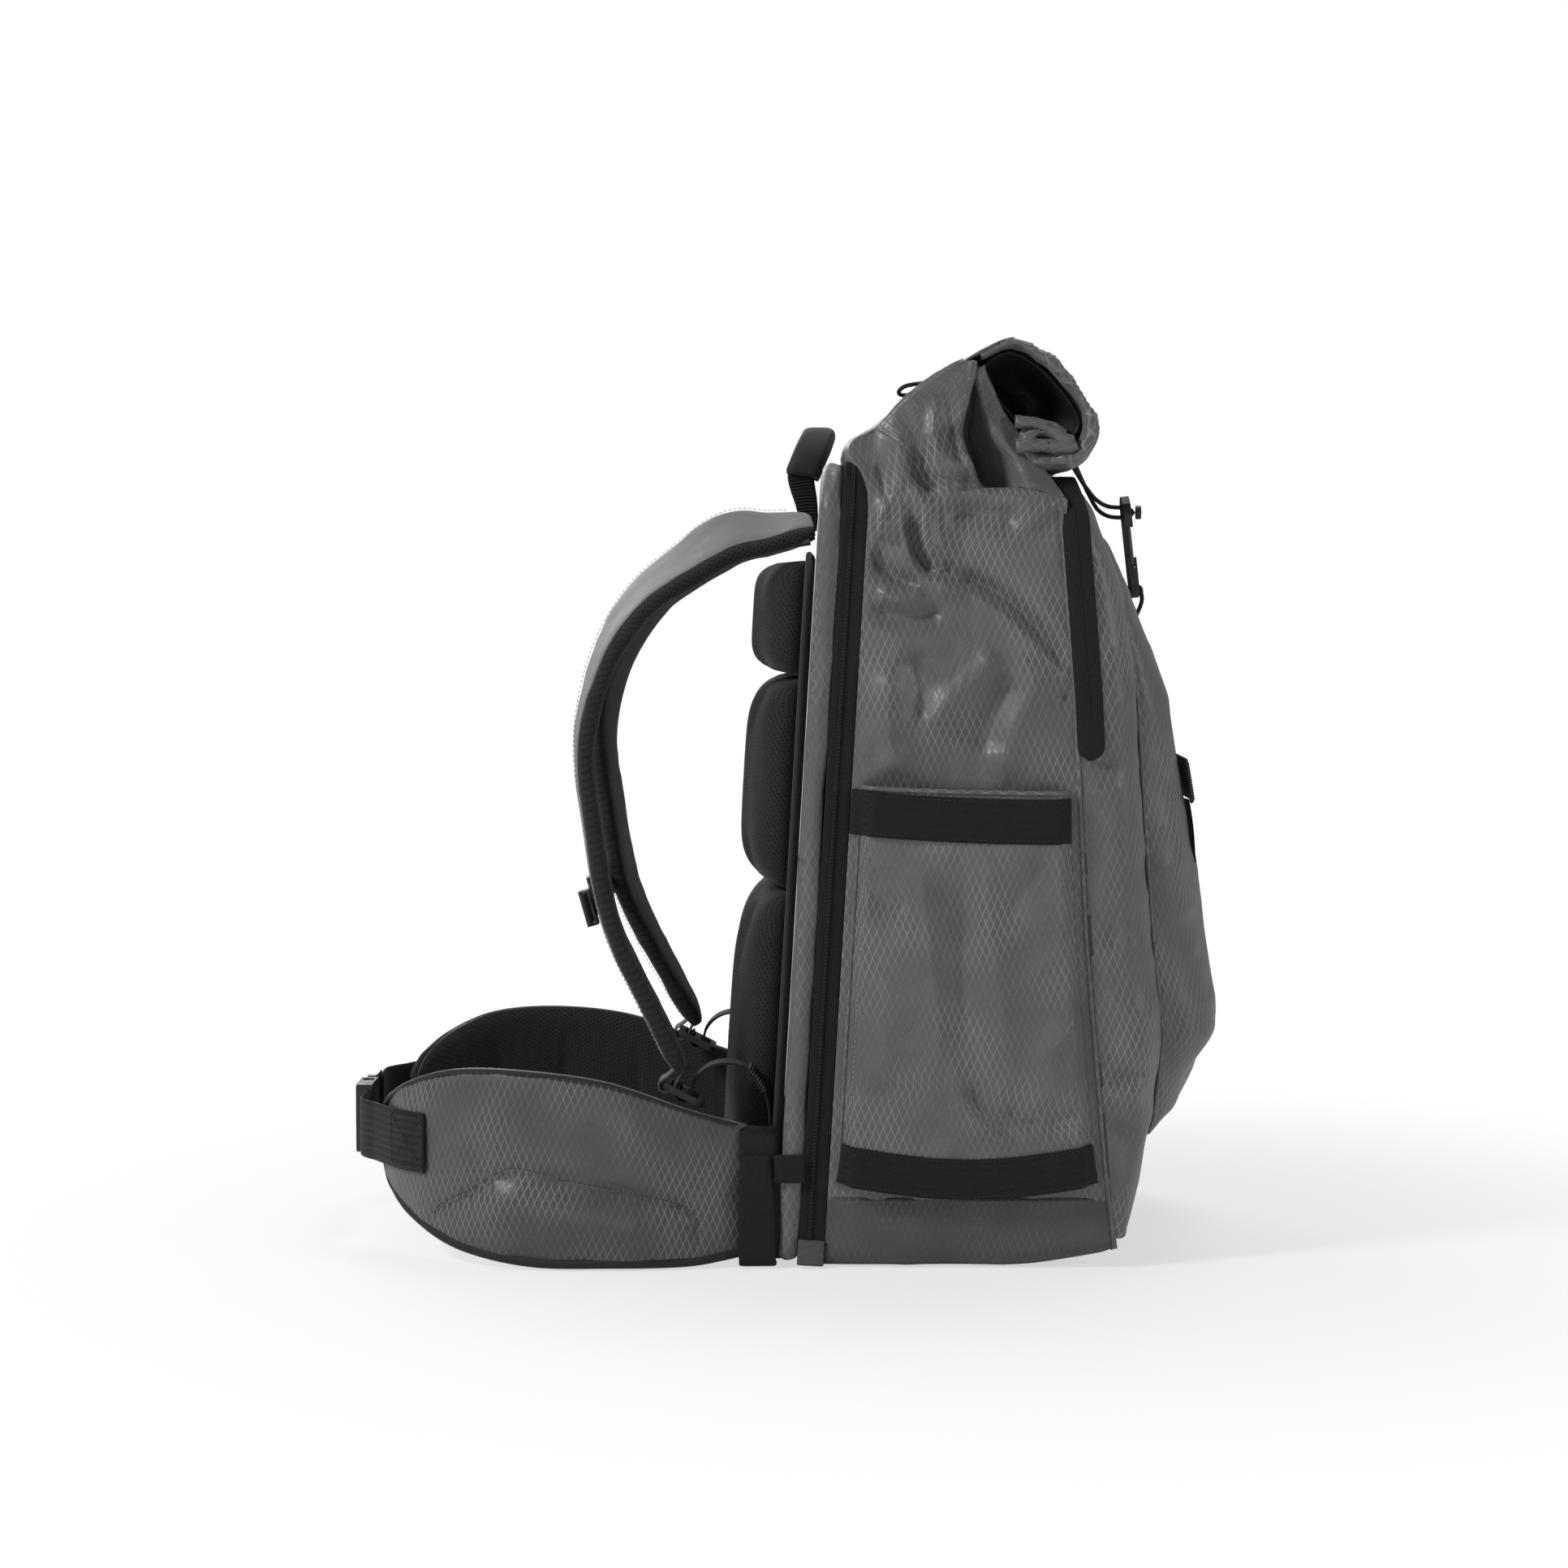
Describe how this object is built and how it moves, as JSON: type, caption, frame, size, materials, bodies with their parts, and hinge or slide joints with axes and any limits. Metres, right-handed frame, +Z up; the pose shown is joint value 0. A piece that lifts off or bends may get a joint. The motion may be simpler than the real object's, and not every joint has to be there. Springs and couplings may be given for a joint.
{
  "type": "roll-top backpack",
  "caption": "Upright roll-top camera backpack with a zipped back door, padded harness, hip belt, carry handle, side pockets and a cord hook closure.",
  "frame": {"origin": "on the floor, in the middle of the pack's width, on the flat of its base", "axes": "+Z up, +X towards the front pocket and away from the wearer, -Y the wearer's left"},
  "size_m": [0.5598, 0.326, 0.5745],
  "materials": {
    "ripstop": "dark grey coated ripstop with a pale diamond grid thread",
    "strap_cloth": "dark grey ripstop face over foam, black mesh inside",
    "webbing": "black woven webbing",
    "air_mesh": "black spacer mesh",
    "grip_cloth": "black sleeve cloth",
    "zip": "black coated zip tape and coil",
    "cord": "black braided cord",
    "label": "plain black label",
    "liner": "grey lining",
    "black_plastic": "moulded acetal, satin",
    "frame_sheet": "natural sheet",
    "slider_metal": "black coated die-cast",
    "gate_metal": "grey anodised",
    "stay": "mill finish"
  },
  "bodies": {
    "pack": {"bottom_panel": "ripstop", "main_body": "ripstop", "front_compartment": "ripstop", "front_pocket": "ripstop", "front_zip_tape": "zip", "daisy_band": "webbing", "hanging_label": "label", "neck_sleeve": "ripstop", "back_cord_bight": "cord", "hook_loop": "cord", "side_pocket_left": "ripstop", "side_pocket_right": "ripstop", "pocket_band_upper_left": "webbing", "pocket_band_upper_right": "webbing", "pocket_band_lower_left": "webbing", "pocket_band_lower_right": "webbing", "body_zip_tape": "zip"},
    "front_slider": {"front_zip_slider": "slider_metal"},
    "roll": {"roll_top": "ripstop", "closure_cord": "cord", "cord_bead": "black_plastic", "hook_body": "black_plastic", "hook_rivet": "slider_metal"},
    "gate": {"hook_gate": "gate_metal"},
    "back_door": {"door_zip_tape": "zip", "door_panel": "ripstop", "door_liner": "liner", "frame_sheet": "frame_sheet", "frame_stay_left": "stay", "frame_stay_right": "stay", "harness_panel": "air_mesh", "lumbar_pad": "air_mesh", "back_pad_middle": "air_mesh", "back_pad_upper": "air_mesh", "side_label": "label", "shoulder_strap_left": "strap_cloth", "shoulder_strap_right": "strap_cloth", "ladder_lock_left": "black_plastic", "ladder_lock_right": "black_plastic", "lower_webbing_left": "webbing", "lower_webbing_right": "webbing", "belt_root_left": "webbing", "belt_root_right": "webbing"},
    "door_slider_left": {"door_zip_slider_left": "slider_metal"},
    "door_slider_right": {"door_zip_slider_right": "slider_metal"},
    "handle": {"handle_webbing": "webbing", "handle_grip": "grip_cloth"},
    "sternum": {"sternum_clip_left": "black_plastic", "sternum_clip_right": "black_plastic", "sternum_buckle_socket": "black_plastic", "sternum_webbing_left": "webbing"},
    "sternum_plug": {"sternum_buckle_plug": "black_plastic", "sternum_webbing_right": "webbing"},
    "left_wing": {"belt_wing_left": "strap_cloth", "belt_tab_left": "webbing", "belt_buckle_socket": "black_plastic"},
    "right_wing": {"belt_wing_right": "strap_cloth", "belt_tab_right": "webbing"},
    "belt_plug": {"belt_buckle_plug": "black_plastic", "belt_webbing": "webbing"}
  },
  "joints": [
    {"name": "back_door_hinge", "type": "hinge", "parent": "pack", "child": "back_door", "pos_m": [-0.09901, 0, 0.00356], "axis": [0, -1, 0], "range_deg": [0, 90]},
    {"name": "roll_lift", "type": "hinge", "parent": "pack", "child": "roll", "pos_m": [0.007, 0, 0.56689], "axis": [0, -1, 0], "range_deg": [0, 80]},
    {"name": "gate_swing", "type": "hinge", "parent": "roll", "child": "gate", "pos_m": [0.11356, -0.0104, 0.43806], "axis": [-0.9938, 0, -0.1115], "range_deg": [0, 20], "stiffness_Nm_per_rad": 0.02},
    {"name": "front_zip_slide", "type": "slide", "parent": "pack", "child": "front_slider", "axis": [-0.0735, 0, 0.9973], "range_m": [0, 0.1]},
    {"name": "door_slide_left", "type": "slide", "parent": "back_door", "child": "door_slider_left", "axis": [0, -1, 0], "range_m": [0, 0.08]},
    {"name": "door_slide_right", "type": "slide", "parent": "back_door", "child": "door_slider_right", "axis": [0, 1, 0], "range_m": [0, 0.08]},
    {"name": "handle_fold", "type": "hinge", "parent": "back_door", "child": "handle", "pos_m": [-0.09846, 0, 0.459], "axis": [0, -1, 0], "range_deg": [0, 60]},
    {"name": "sternum_slide", "type": "slide", "parent": "back_door", "child": "sternum", "axis": [0.2727, 0, -0.9621], "range_m": [-0.015, 0.015]},
    {"name": "sternum_pull", "type": "slide", "parent": "sternum", "child": "sternum_plug", "axis": [0, 1, 0], "range_m": [0, 0.02]},
    {"name": "left_wing_swing", "type": "hinge", "parent": "back_door", "child": "left_wing", "pos_m": [-0.144, -0.149, 0.001], "axis": [0, 0, 1], "range_deg": [0, 60]},
    {"name": "right_wing_swing", "type": "hinge", "parent": "back_door", "child": "right_wing", "pos_m": [-0.144, 0.149, 0.001], "axis": [0, 0, 1], "range_deg": [-60, 0]},
    {"name": "belt_pull", "type": "slide", "parent": "right_wing", "child": "belt_plug", "axis": [0, 1, 0], "range_m": [0, 0.028]}
  ],
  "couplings": [
    {"joint": "right_wing_swing", "follows": "left_wing_swing", "ratio": -1}
  ]
}
